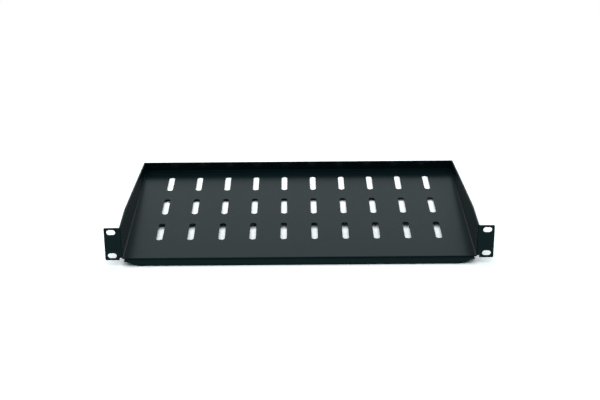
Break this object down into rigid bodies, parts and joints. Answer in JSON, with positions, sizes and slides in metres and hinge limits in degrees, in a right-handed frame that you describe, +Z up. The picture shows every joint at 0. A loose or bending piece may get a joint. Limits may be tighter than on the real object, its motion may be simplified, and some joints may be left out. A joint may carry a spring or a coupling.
{
  "type": "cantilever rack shelf",
  "caption": "Low folded steel shelf with a slotted floor, sloping side walls, a raised rear lip and slotted ears that screw to the front rails of a rack.",
  "frame": {"origin": "middle of the four screw slots, on the rear face of the ears, which is the face that the rack rails touch", "axes": "+X to the right as seen from the front of the rack, +Y into the rack, +Z up"},
  "size_m": [0.4826, 0.2865, 0.0521],
  "materials": {
    "powder_coat": "black powder coat, fine grained and satin"
  },
  "bodies": {
    "root": {"shelf": "powder_coat"}
  },
  "joints": []
}
